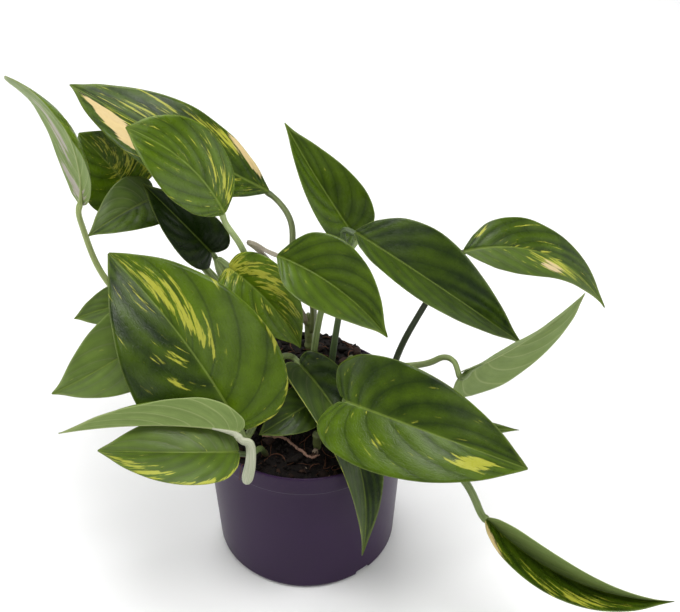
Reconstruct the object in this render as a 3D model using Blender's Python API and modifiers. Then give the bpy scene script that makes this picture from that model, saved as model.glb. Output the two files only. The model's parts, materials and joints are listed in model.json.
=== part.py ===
"""Potted pothos plant: a purple nursery pot, soil, short vine stems, leaf stalks and leaves.

Metres, +Z up. The origin is the centre of the pot's underside, and the front looks along -Y.
Lengths in the tables are millimetres, and angles are degrees.
"""
import math
from dataclasses import dataclass

import bmesh
import bpy
from mathutils import Quaternion, Vector

MM = 0.001
NAME = "potted_pothos_plant"
GAP = 0.35  # clearance between touching pieces

# Pot
RIM_RADIUS = 60.0
POT_HEIGHT = 101.0
FOOT_RADIUS = 54.0
FOOT_ROUND = 3.5
COLLAR_HEIGHT = 14.0
COLLAR_STEP = 0.7
WALL = 1.3
POT_FLOOR = 1.7  # thickness of the bottom
LIP_ROUND = 0.7  # the lip is bevelled by this much
POT_STEPS = 48
SLOT_ANGLES = (-50.0, 70.0, 190.0)
SLOT_SIZE = (11.0, 14.0, 9.0)

# Soil: a heap that leans up towards the back
SOIL_EDGE = 97.0
SOIL_MOUND = 15.0
SOIL_LEAN = 0.45
SOIL_RINGS = (54.0, 46.0, 36.0, 26.0, 14.0)
SOIL_STEPS = 32
FLAT_BAND = 1.5  # the soil is left level this close to the wall

# Root that lies on the soil
ROOT_ROUTE = ((-24, -26), (-12, -27), (-5, -32), (3, -38), (9, -37))
ROOT_RADIUS = 0.8
ROOT_LIFT = 1.4  # its axis above the soil
ROOT_POINTS = 12

# Vine stems: foot and top of each, both on its axis
STEM_RADIUS = 3.0
STEM_DEPTH = 72.0
STEM_POINTS = 7
STEM_TAPER = 0.8  # radius at the top as a share of the radius at the foot
STEMS = {
    "left": ((-15, 6), (-22, 10, 148)),
    "back": ((4, 22), (2, 30, 146)),
    "right": ((22, 2), (27, 4, 136)),
    "front": ((6, -27), (8, -31, 110)),
}

# Leaf outline, from the notch round one lobe to the tip: share of the length, share of the half width
HEART = (
    (-0.05, 0.06), (-0.11, 0.28), (-0.13, 0.62), (-0.01, 0.91),
    (0.22, 1.00), (0.49, 0.83), (0.74, 0.47), (0.91, 0.15), (1.00, 0.015),
)
WEDGE = (
    (0.00, 0.05), (0.03, 0.24), (0.08, 0.52), (0.17, 0.85),
    (0.34, 1.00), (0.55, 0.84), (0.76, 0.48), (0.91, 0.15), (1.00, 0.015),
)
OVAL = (
    (-0.05, 0.06), (-0.09, 0.28), (-0.10, 0.62), (0.02, 0.90),
    (0.26, 1.00), (0.54, 0.95), (0.80, 0.70), (0.95, 0.33), (1.00, 0.02),
)
LEAF_THICKNESS = 0.8
LEAF_ROWS = 10
LEAF_COLUMNS = 6
RIPPLES = 17.0  # radians of the margin's ripples from base to tip
FOLD_RADIUS = 3.0  # half width over which the two halves part from one normal
STALK_POINTS = 12
STALK_DROP = 2.5  # how much further below the blade the stalk runs before it turns in
POCKET_TOP = 140.0  # pockets for stalks end above every height of the soil

LEAF_GREEN = (0.075, 0.160, 0.018)
DARK_GREEN = (0.022, 0.060, 0.008)
LIME_GREEN = (0.200, 0.280, 0.040)
STREAKED_GREEN = (0.110, 0.170, 0.035)
PALE_GREEN = (0.260, 0.330, 0.150)
POT_COLOUR = (0.045, 0.018, 0.050)
SOIL_COLOUR = (0.018, 0.010, 0.007)
STEM_COLOUR = (0.200, 0.240, 0.090)
STALK_COLOUR = (0.240, 0.300, 0.090)
ROOT_COLOUR = (0.260, 0.130, 0.090)


@dataclass
class Leaf:
    """One blade with its stalk. base and tip are the ends of the midrib."""

    name: str
    base: tuple
    tip: tuple
    width: float
    roll: float  # turn about the line from base to tip, from the most upright blade
    root: tuple  # where the stalk starts: a vine stem, a height and a heading, or a point
    route: tuple = ()  # points that the stalk runs through
    arch: float = 4.0  # how far the midrib's middle rises towards the upper face
    bow: float = 0.0  # how far it bows to the right, looking from base to tip
    fold: tuple = (12.0, 12.0)  # how far each half rises from flat, left and right
    wave: float = 0.8  # height of the margin's ripples
    wedge: float = 0.0  # 0 has full lobes behind the base, and 1 has none
    oval: float = 0.0  # how full the blade is towards its tip
    late: float = 0.0  # how far its widest place is moved towards the tip
    neck: float = 9.0  # how far behind the base the stalk turns into the midrib
    stalk: tuple = (2.0, 1.5)  # stalk radius at its root and at the blade
    colour: tuple = LEAF_GREEN


LEAVES = (
    Leaf("top_left", (-122, 35, 221), (-153, 35, 303), 46, 66,
         ("left", 121, 180), ((-60, 12, 130), (-90, 16, 150), (-116, 26, 176), (-122, 33, 203)),
         arch=13, bow=-5, fold=(-22, 20), wedge=0.8, oval=1.0, late=0.8, neck=5, colour=PALE_GREEN),
    Leaf("top_long", (-20, 58, 213), (-129, 78, 271), 47, -25,
         ("back", 134, 0), ((6, 27, 160), (-8, 32, 183), (-5, 47, 197)),
         arch=8, bow=-5, fold=(6, 8), wedge=1.0, late=0.55, colour=STREAKED_GREEN),
    Leaf("top_glossy", (-42, 17, 228), (-91, 20, 281), 46, -34,
         ("left", 144, 40), ((-20, 28, 165), (-30, 24, 185), (-34, 18, 206)),
         arch=5, bow=5, fold=(10, 4), wedge=0.9, late=0.6, colour=STREAKED_GREEN),
    Leaf("left_tucked", (-99, 62, 212), (-125, 66, 247), 48, -50,
         (-10, 30, 96), ((-36, 42, 140), (-78, 56, 186)), oval=0.5, wedge=0.3),
    Leaf("left_dark", (-86, 52, 212), (-118, 20, 210), 34, -30,
         ("left", 136, 120), ((-44, 32, 156), (-72, 44, 192)), colour=DARK_GREEN),
    Leaf("folded_dark", (-53, 38, 185), (-90, 48, 226), 36, -45,
         ("left", 146, 90), ((-34, 22, 158), (-48, 30, 174)), fold=(35, 35), wedge=0.4,
         colour=DARK_GREEN),
    Leaf("big_front", (-35, -42, 124), (-107, 15, 202), 84, -31,
         ("left", 120, 260), ((-26, -26, 118),), arch=7, bow=4, fold=(8, 6), oval=0.7,
         wedge=0.5, stalk=(2.2, 1.9)),
    Leaf("boat_front", (-34, -60, 139), (-129, -70, 147), 32, 44,
         (-31, -70, 108), ((-28, -67, 121), (-28, -63, 133)), fold=(64, 60), wedge=0.6,
         neck=3, stalk=(3.0, 2.0), colour=PALE_GREEN),
    Leaf("under_boat", (-35, -64, 127), (-110, -68, 132), 44, -25,
         (-22, -34, 95), ((-24, -46, 112),), bow=-2, fold=(18, 10), oval=1.0, wedge=0.75,
         stalk=(1.7, 1.4)),
    Leaf("left_olive", (-78, 0, 161), (-143, -16, 125), 50, -35,
         ("left", 128, 225), ((-48, 2, 146),), bow=-3),
    Leaf("left_stub", (-91, 45, 145), (-138, 45, 129), 30, -40,
         ("left", 129, 150), ((-56, 34, 134),)),
    Leaf("lime_centre", (-41, 16, 191), (-2, 4, 142), 42, 53,
         ("left", 146, 320), ((-24, 8, 165), (-38, 14, 180)), bow=-4, fold=(24, 24), wedge=0.6,
         colour=LIME_GREEN),
    Leaf("centre", (-13, -5, 216), (46, -28, 178), 48, 46,
         ("back", 140, 240), ((-10, 31, 168), (-24, 18, 203), (-31, 6, 217), (-24, 0, 220)),
         bow=-5, fold=(16, 48), wedge=1.0, stalk=(1.5, 1.1)),
    Leaf("upper_middle", (28, 43, 194), (-10, 61, 257), 40, -51,
         (1, 3, 96), ((6, 8, 141), (10, 14, 164), (20, 32, 184)),
         bow=-1, fold=(55, 10), wedge=0.5),
    Leaf("right_long", (29, 22, 211), (125, 12, 138), 50, 30,
         (12, 5, 96), ((17, 10, 139), (20, 14, 160), (25, 20, 192)),
         arch=10, bow=4, fold=(26, 36), wedge=0.9, colour=DARK_GREEN),
    Leaf("right_back", (92, 50, 176), (178, 48, 135), 38, 25,
         (45, 5, 94), ((53, 9, 133), (62, 16, 148), (71, 24, 162), (82, 36, 174)),
         arch=11, bow=-12, fold=(6, 14), wedge=1.0),
    Leaf("right_pale", (91, -18, 145), (155, 0, 186), 47, -80,
         ("right", 128, 340), ((69, -8, 139), (76, -9, 147), (85, -13, 149)),
         arch=4, bow=-13, fold=(-8, -30), wedge=0.1, neck=8, colour=PALE_GREEN),
    Leaf("heart_front", (24, -37, 139), (122, -72, 122), 63, 44,
         ("right", 122, 290), ((31, -15, 137),), arch=8, oval=0.3, wedge=0.15, neck=3, stalk=(2.2, 1.8)),
    Leaf("over_rim", (-2, -3, 135), (33, -71, 50), 36, 21,
         ("left", 128, 330), ((-11, 5, 135),), arch=19, bow=-15, fold=(-12, 50), wedge=0.5,
         colour=DARK_GREEN),
    Leaf("small_olive", (8, -14, 119), (-25, -36, 112), 27, -35,
         ("right", 114, 240), (), oval=0.6, wedge=0.6),
    Leaf("bud", (0, -2, 120), (-12, -5, 129), 14, -54,
         (0, -4, 98), (), neck=4, stalk=(1.2, 0.9)),
    Leaf("right_tip", (78, -20, 104), (122, -30, 110), 12, 46,
         (34, -8, 94), ((50, -14, 108),), stalk=(1.5, 1.1)),
    Leaf("low_right", (102, -76, 86), (209, -95, 39), 48, 44,
         (26, -22, 92), ((58, -46, 116), (84, -60, 110), (94, -68, 98)),
         bow=12, fold=(72, 57), wedge=0.8, neck=4, stalk=(2.4, 2.0)),
)


def clear_scene():
    for item in list(bpy.data.objects):
        bpy.data.objects.remove(item)


def new_collection(name):
    group = bpy.data.collections.new(name)
    bpy.context.scene.collection.children.link(group)
    return group


def material(name, colour, roughness):
    made = bpy.data.materials.new(name)
    made.use_nodes = True
    shader = made.node_tree.nodes["Principled BSDF"]
    shader.inputs["Base Color"].default_value = (*colour, 1.0)
    shader.inputs["Roughness"].default_value = roughness
    shader.inputs["Metallic"].default_value = 0.0
    made.diffuse_color = (*colour, 1.0)
    return made


def add_object(name, mesh, group, look=None):
    item = bpy.data.objects.new(name, mesh)
    group.objects.link(item)
    if look is not None:
        mesh.materials.append(look)
    return item


def turned(name, profile, group, look, steps=POT_STEPS):
    """A profile of (radius, height) turned about Z. It runs down its outer side."""
    mesh = bpy.data.meshes.new(name)
    points = [(radius * MM, 0.0, height * MM) for radius, height in profile]
    mesh.from_pydata(points, [(i, i + 1) for i in range(len(points) - 1)], [])
    item = add_object(name, mesh, group, look)
    screw = item.modifiers.new("turn", "SCREW")
    screw.steps = steps
    screw.render_steps = steps
    screw.use_merge_vertices = True
    screw.merge_threshold = 0.00001
    screw.use_smooth_shade = True
    return item


def as_mesh(item, group, look):
    """Replaces a curve, or an object with modifiers, by the plain mesh it makes."""
    bpy.context.view_layer.update()
    seen = item.evaluated_get(bpy.context.evaluated_depsgraph_get())
    mesh = bpy.data.meshes.new_from_object(seen)
    name, place = item.name, item.matrix_world.copy()
    bpy.data.objects.remove(item)
    work = bmesh.new()
    work.from_mesh(mesh)
    bmesh.ops.remove_doubles(work, verts=work.verts, dist=0.000001)
    work.to_mesh(mesh)
    work.free()
    mesh.materials.clear()
    mesh.name = name
    made = add_object(name, mesh, group, look)
    made.matrix_world = place
    return made


def tube(name, points, radii, group, look):
    """A round stalk through the points, with a radius in millimetres at each."""
    data = bpy.data.curves.new(name, "CURVE")
    data.dimensions = "3D"
    data.bevel_depth = MM
    data.bevel_resolution = 2
    data.use_fill_caps = True
    line = data.splines.new("POLY")
    line.points.add(len(points) - 1)
    for knot, place, radius in zip(line.points, points, radii):
        knot.co = (*(place * MM), 1.0)
        knot.radius = radius
    line.use_smooth = True
    item = bpy.data.objects.new(name, data)
    group.objects.link(item)
    if look is not None:
        data.materials.append(look)
    return item


def cut(item, cutter):
    cutter.hide_render = True
    cutter.display_type = "WIRE"
    boolean = item.modifiers.new("cut", "BOOLEAN")
    boolean.operation = "DIFFERENCE"
    boolean.solver = "EXACT"
    boolean.object = cutter


def mix(a, b, share):
    return a + (b - a) * share


def smooth(knots, share):
    """The point at a share of the way along a Catmull-Rom curve through the knots."""
    place = share * (len(knots) - 1)
    i = min(int(place), len(knots) - 2)
    f = place - i
    here, there = knots[i], knots[i + 1]
    before = knots[i - 1] if i > 0 else here * 2 - there
    after = knots[i + 2] if i + 2 < len(knots) else there * 2 - here
    return 0.5 * (
        here * 2 + (there - before) * f
        + (before * 2 - here * 5 + there * 4 - after) * f ** 2
        + (here * 3 - before - there * 3 + after) * f ** 3
    )


# ---- pot, soil and root ----

def pot_profile():
    """Points (radius, height) round the wall, from the middle of the inner floor to the underside.

    The inner side is also returned alone.
    """
    collar_foot = POT_HEIGHT - COLLAR_HEIGHT
    taper = (RIM_RADIUS - FOOT_RADIUS) / POT_HEIGHT
    waist = RIM_RADIUS - taper * COLLAR_HEIGHT
    outer = [
        (RIM_RADIUS - LIP_ROUND, POT_HEIGHT),
        (RIM_RADIUS, POT_HEIGHT - LIP_ROUND),
        (waist, collar_foot + COLLAR_STEP),
        (waist - COLLAR_STEP, collar_foot),
    ]
    low = FOOT_RADIUS + taper * FOOT_ROUND - COLLAR_STEP
    outer.append((low + taper * SLOT_SIZE[2], FOOT_ROUND + SLOT_SIZE[2]))  # a ring above the slots
    outer.append((low, FOOT_ROUND))
    for degrees in (30, 60, 90):
        turn = math.radians(degrees)
        outer.append((low - FOOT_ROUND * (1 - math.cos(turn)), FOOT_ROUND * (1 - math.sin(turn))))
    inner = [
        (0.0, POT_FLOOR),
        (low - FOOT_ROUND - LIP_ROUND, POT_FLOOR),
        (low - WALL, FOOT_ROUND + WALL),
        (waist - COLLAR_STEP - WALL, collar_foot),
        (RIM_RADIUS - WALL, POT_HEIGHT - LIP_ROUND),
    ]
    return inner + outer + [(0.0, 0.0)], inner


def build_pot(group, cutters):
    look = material("purple_plastic", POT_COLOUR, 0.32)
    profile, _ = pot_profile()
    pot = turned("plant_pot", profile, group, look)
    width, depth, height = SLOT_SIZE
    for number, degrees in enumerate(SLOT_ANGLES, 1):
        bpy.ops.mesh.primitive_cube_add(size=1)
        cutter = bpy.context.object
        cutter.name = f"drain_slot_{number}"
        for owner in list(cutter.users_collection):
            owner.objects.unlink(cutter)
        cutters.objects.link(cutter)
        turn = math.radians(degrees)
        cutter.scale = (depth * MM, width * MM, height * MM)
        cutter.rotation_euler = (0, 0, turn)
        cutter.location = (FOOT_RADIUS * MM * math.cos(turn), FOOT_RADIUS * MM * math.sin(turn), 0)
        cut(pot, cutter)


def soil_top(x, y):
    """Height of the soil above the ground at a place, in millimetres."""
    share = min(math.hypot(x, y) / (RIM_RADIUS - WALL), 1.0)
    return SOIL_EDGE + (SOIL_MOUND + SOIL_LEAN * y) * (1 - share ** 3)


def build_soil(group, pockets):
    look = material("potting_soil", SOIL_COLOUR, 0.95)
    _, inner = pot_profile()
    edge = RIM_RADIUS - WALL - GAP
    profile = [(0.0, SOIL_EDGE)]
    profile += [(radius, SOIL_EDGE) for radius in reversed(SOIL_RINGS)]
    taper = (RIM_RADIUS - FOOT_RADIUS) / POT_HEIGHT
    profile.append((edge - taper * (POT_HEIGHT - SOIL_EDGE) - GAP, SOIL_EDGE))
    for radius, height in reversed(inner[1:-1]):
        profile.append((radius - 2 * GAP, height + GAP))
    profile.append((0.0, inner[0][1] + GAP))
    soil = as_mesh(turned("soil", profile, group, look, SOIL_STEPS), group, look)
    for vertex in soil.data.vertices:
        x, y, z = vertex.co / MM
        if z > SOIL_EDGE - GAP and math.hypot(x, y) < edge - FLAT_BAND:
            vertex.co.z = soil_top(x, y) * MM
    for hole in pockets:
        cut(soil, hole)


def stem_axis(name, share):
    foot, top = STEMS[name]
    return mix(Vector((*foot, STEM_DEPTH)), Vector(top), share)


def pocket(name, line, radii, cutters):
    """A cutter that leaves a gap round a stalk's or stem's foot."""
    down = (line[0] - line[1]).normalized() * GAP
    wide = [radius + GAP for radius in radii]
    return as_mesh(tube(f"pocket_{name}", [line[0] + down] + line[1:], wide, cutters, None), cutters, None)


def build_stems(group, cutters):
    pockets = []
    for name in STEMS:
        look = material(f"vine_{name}", STEM_COLOUR, 0.55)
        shares = [i / (STEM_POINTS - 1) for i in range(STEM_POINTS)]
        line = [stem_axis(name, share) for share in shares]
        radii = [STEM_RADIUS * mix(1.0, STEM_TAPER, share) for share in shares]
        tube(f"vine_stem_{name}", line, radii, group, look)
        pockets.append(pocket(f"vine_{name}", line, radii, cutters))
    return pockets


def build_root(group):
    """A root that lies on the soil."""
    look = material("surface_root", ROOT_COLOUR, 0.7)
    knots = [Vector((x, y, soil_top(x, y) + ROOT_LIFT)) for x, y in ROOT_ROUTE]
    line = [smooth(knots, i / (ROOT_POINTS - 1)) for i in range(ROOT_POINTS)]
    tube("surface_root", line, [ROOT_RADIUS] * len(line), group, look)


# ---- leaves ----

def outline(leaf, share):
    """Place of the margin: share of the length and of the half width."""
    knots = []
    for heart, oval, wedge in zip(HEART, OVAL, WEDGE):
        full = mix(Vector(heart), Vector(oval), leaf.oval)
        knot = mix(full, Vector(wedge), leaf.wedge)
        knot.x += leaf.late * max(knot.x, 0.0) * (1.0 - knot.x)
        knots.append(knot)
    return smooth(knots, share)


def midrib(leaf):
    """Three knots of the midrib's arc, and the blade's normal about it."""
    base, tip = Vector(leaf.base), Vector(leaf.tip)
    chord = (tip - base).normalized()
    up = Vector((0, 0, 1))
    normal = (up - chord * up.dot(chord)).normalized()
    normal = Quaternion(chord, math.radians(leaf.roll)) @ normal
    side = chord.cross(normal)
    middle = (base + tip) / 2 + normal * (2 * leaf.arch) + side * (2 * leaf.bow)
    return base, middle, tip, normal


def frame_at(leaf, along):
    """Point, forward, side and normal of the blade's midrib at a share of its length."""
    base, middle, tip, normal = midrib(leaf)
    t = max(along, 0.0)
    point = base * (1 - t) ** 2 + middle * (2 * t * (1 - t)) + tip * t ** 2
    forward = ((middle - base) * (1 - t) + (tip - middle) * t).normalized()
    if along < 0:
        point = point + forward * ((tip - base).length * along)
    side = forward.cross(normal).normalized()
    return point, forward, side, side.cross(forward)


def blade_point(leaf, share, across, lift):
    """A point of the blade's solid, in millimetres.

    share runs from base to tip, across from -1 (left) to 1 (right), and lift from -0.5 to 0.5
    through the thickness.
    """
    out = abs(across)
    sign = 1 if across > 0 else -1
    hand = 1 if across > 0 else 0
    margin = outline(leaf, share)
    point, _, side, normal = frame_at(leaf, mix(share ** 2, margin.x, out))
    reach = margin.y * out * leaf.width / 2
    turn = math.radians(leaf.fold[hand])
    ripple = leaf.wave * out ** 2 * margin.y * math.sin(share * RIPPLES + 2 * hand + leaf.width)
    point += side * (sign * reach * math.cos(turn)) + normal * (reach * math.sin(turn) + ripple)
    # Near the midrib both halves are lifted along one normal, so that they can't cross
    tilt = turn * min(reach / FOLD_RADIUS, 1.0)
    return point + (normal * math.cos(tilt) - side * (sign * math.sin(tilt))) * (lift * LEAF_THICKNESS)


def build_blade(leaf, group):
    """A flat slab, bent into the blade's shape."""
    look = material(f"leaf_{leaf.name}", leaf.colour, 0.38)
    work = bmesh.new()
    bmesh.ops.create_grid(work, x_segments=LEAF_ROWS, y_segments=LEAF_COLUMNS, size=1)
    copied = bmesh.ops.extrude_face_region(work, geom=work.faces[:])["geom"]
    for item in copied:
        if isinstance(item, bmesh.types.BMVert):
            item.co.z = 1
    bmesh.ops.recalc_face_normals(work, faces=work.faces)
    for vertex in work.verts:
        x, y, z = vertex.co
        vertex.co = blade_point(leaf, (x + 1) / 2, -y, z - 0.5) * MM
    mesh = bpy.data.meshes.new(f"leaf_{leaf.name}")
    work.to_mesh(mesh)
    work.free()
    mesh.shade_smooth()
    add_object(f"leaf_{leaf.name}", mesh, group, look)


def stalk_line(leaf):
    """Knots of the stalk, from its root to just under the blade's base."""
    start_radius, end_radius = leaf.stalk
    if isinstance(leaf.root[0], str):
        stem, height, heading = leaf.root
        share = (height - STEM_DEPTH) / (STEMS[stem][1][2] - STEM_DEPTH)
        turn = math.radians(heading)
        away = Vector((math.cos(turn), math.sin(turn), 0.0))
        start = stem_axis(stem, share) + away * (STEM_RADIUS + start_radius + GAP)
    else:
        start = Vector(leaf.root)
    point, forward, _, normal = frame_at(leaf, 0.0)
    under = end_radius + LEAF_THICKNESS / 2 + GAP
    end = point - normal * under
    near = point - forward * leaf.neck - normal * (under + STALK_DROP)
    return [start] + [Vector(place) for place in leaf.route] + [near, end]


def build_stalk(leaf, group, cutters):
    """The stalk. One that grows straight from the soil also returns the pocket it needs."""
    look = material(f"stalk_{leaf.name}", STALK_COLOUR, 0.45)
    knots = stalk_line(leaf)
    shares = [i / (STALK_POINTS - 1) for i in range(STALK_POINTS)]
    line = [smooth(knots, share) for share in shares]
    radii = [mix(*leaf.stalk, share) for share in shares]
    tube(f"stalk_{leaf.name}", line, radii, group, look)
    if isinstance(leaf.root[0], str):
        return []
    sunk = sum(1 for point in line if point.z < POCKET_TOP)
    return [pocket(leaf.name, line[:sunk], radii[:sunk], cutters)]


def main():
    clear_scene()
    parts = new_collection(NAME)
    cutters = new_collection("cutters")
    build_pot(parts, cutters)
    pockets = build_stems(parts, cutters)
    for leaf in LEAVES:
        build_blade(leaf, parts)
        pockets += build_stalk(leaf, parts, cutters)
    build_soil(parts, pockets)
    build_root(parts)


main()
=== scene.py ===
import json
import math
import random
from dataclasses import dataclass

import bmesh
import bpy
import numpy as np
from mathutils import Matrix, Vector, noise


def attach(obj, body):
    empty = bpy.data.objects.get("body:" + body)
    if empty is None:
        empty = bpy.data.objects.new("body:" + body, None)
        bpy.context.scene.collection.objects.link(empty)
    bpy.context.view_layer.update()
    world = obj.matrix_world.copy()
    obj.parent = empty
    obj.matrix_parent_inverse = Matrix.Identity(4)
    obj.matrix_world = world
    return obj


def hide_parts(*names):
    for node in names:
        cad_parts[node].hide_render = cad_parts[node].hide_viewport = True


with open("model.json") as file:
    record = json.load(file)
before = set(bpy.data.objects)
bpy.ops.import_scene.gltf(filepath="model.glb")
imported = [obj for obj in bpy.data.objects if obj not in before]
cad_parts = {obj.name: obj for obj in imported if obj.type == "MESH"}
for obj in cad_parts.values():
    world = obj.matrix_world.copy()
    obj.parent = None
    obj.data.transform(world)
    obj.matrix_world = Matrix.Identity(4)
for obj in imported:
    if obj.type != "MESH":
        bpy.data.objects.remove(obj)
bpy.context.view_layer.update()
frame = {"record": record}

# Potted pothos plant: finished blades, stalks, vine stems, potting mix, root and pot.
# Lengths are millimetres and angles are degrees. Objects are made in metres.

MM = 0.001
GAP = 0.35  # left between neighbouring pieces

# Camera
VIEW_TARGET = (0.0205, 0.0, 0.1766)
VIEW_HEIGHT = 40.0
VIEW_DISTANCE = 0.85
VIEW_LENS = 81.3

# Lights: place and size in metres, power in watts
LIGHTS = (
    ("key_back", (-0.25, 0.75, 1.15), (0.9, 0.5), 10.5),
    ("top", (0.1, -0.25, 1.3), (0.6, 0.6), 10.0),
    ("left_side", (-1.0, -0.15, 0.45), (0.7, 1.0), 5.0),
    ("right_side", (1.05, -0.1, 0.45), (0.7, 1.0), 5.0),
    ("front", (0.1, -1.2, 0.9), (0.7, 0.5), 2.0),
)
LIGHT_TARGET = (0, 0, 0.13)
WALL_LIGHT = 0.62
CEILING_LIGHT = 0.22

# Pot
RIM_RADIUS = 60.0
POT_HEIGHT = 101.0
FOOT_RADIUS = 54.0
FOOT_ROUND = 3.5
COLLAR_HEIGHT = 14.0
COLLAR_STEP = 0.7
WALL = 1.3
POT_STEPS = 192
SLOT_ANGLES = (-50.0, 70.0, 190.0)
SLOT_SIZE = (11.0, 14.0, 9.0)

# Soil
SOIL_EDGE = 97.0
SOIL_MOUND = 15.0
SOIL_LEAN = 0.45
SOIL_RINGS = 54
SOIL_SECTORS = 180
SOIL_REACH = 57.0  # crumbs and fibres lie inside this radius
SOIL_SIDE = ((57.4, 93.0), (56.0, 88.0), (52.6, 5.5), (48.0, 2.2), (0.05, 2.1))
CRUMBS = 1500
CRUMB_RANGE = (0.55, 3.4)
WALL_CRUMBS = 52.0  # the radius beyond which a crumb lies up against the pot's wall
FIBRES = 150
FIBRE_REACH = 55.0
FIBRE_LENGTHS = (5, 17)
FIBRE_STEPS = 8
FIBRE_SIDES = 6
HAIRS = ((-33, -48, 250), (-30, -50, 230), (48, -33, 300), (45, -37, 320))  # they hang over the rim
HAIR_LENGTH = 15.0
HAIR_STEPS = 9

# Root that lies on the soil
ROOT_ROUTE = ((-24, -26), (-12, -27), (-5, -32), (3, -38), (9, -37))
ROOT_LIFT = 1.4
ROOT_RADIUS = 0.85
ROOT_STEPS = 80
ROOT_SIDES = 14

# Vine stems
STEM_RADIUS = 3.0
STEM_DEPTH = 72.0
STEM_STEPS = 90
STEM_SIDES = 28
NODE_START = 18.0
NODE_SPACING = 17.0
STEMS = {
    "left": ((-15, 6), (-22, 10, 148)),
    "back": ((4, 22), (2, 30, 146)),
    "right": ((22, 2), (27, 4, 136)),
    "front": ((6, -27), (8, -31, 110)),
}

# Leaf outline, from the notch round one lobe to the tip: share of the length, share of the half width
HEART = (
    (-0.05, 0.06), (-0.11, 0.28), (-0.13, 0.62), (-0.01, 0.91),
    (0.22, 1.00), (0.49, 0.83), (0.74, 0.47), (0.91, 0.15), (1.00, 0.015),
)
WEDGE = (
    (0.00, 0.05), (0.03, 0.24), (0.08, 0.52), (0.17, 0.85),
    (0.34, 1.00), (0.55, 0.84), (0.76, 0.48), (0.91, 0.15), (1.00, 0.015),
)
OVAL = (
    (-0.05, 0.06), (-0.09, 0.28), (-0.10, 0.62), (0.02, 0.90),
    (0.26, 1.00), (0.54, 0.95), (0.80, 0.70), (0.95, 0.33), (1.00, 0.02),
)
LEAF_THICKNESS = 0.8  # of the solid that the blade replaces
SHEET = 0.42  # thickness of the finished blade
ROWS = 72
COLUMNS = 20  # on each half
RIPPLES = 17.0
FOLD_RADIUS = 3.0
VEINS = 8.0  # side veins on each half

# Stalks
STALK_DROP = 2.5  # how much further below the blade the stalk runs before it turns in
STALK_STEPS = 46
STALK_SIDES = 18
ROUNDING = 30  # how often its bends are smoothed


@dataclass
class Leaf:
    """One blade with its stalk. base and tip are the ends of the midrib."""

    name: str
    base: tuple
    tip: tuple
    width: float
    roll: float  # turn about the line from base to tip, from the most upright blade
    root: tuple  # where the stalk starts: a vine stem, a height and a heading, or a point
    route: tuple = ()  # points that the stalk runs through
    arch: float = 4.0  # how far the midrib's middle rises towards the upper face
    bow: float = 0.0  # how far it bows to the right, looking from base to tip
    fold: tuple = (12.0, 12.0)  # how far each half rises from flat, left and right
    wave: float = 0.8  # height of the margin's ripples
    wedge: float = 0.0  # 0 has full lobes behind the base, and 1 has none
    oval: float = 0.0  # how full the blade is towards its tip
    late: float = 0.0  # how far its widest place is moved towards the tip
    neck: float = 9.0  # how far behind the base the stalk turns into the midrib
    stalk: tuple = (2.0, 1.5)  # stalk radius at its root and at the blade


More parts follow.
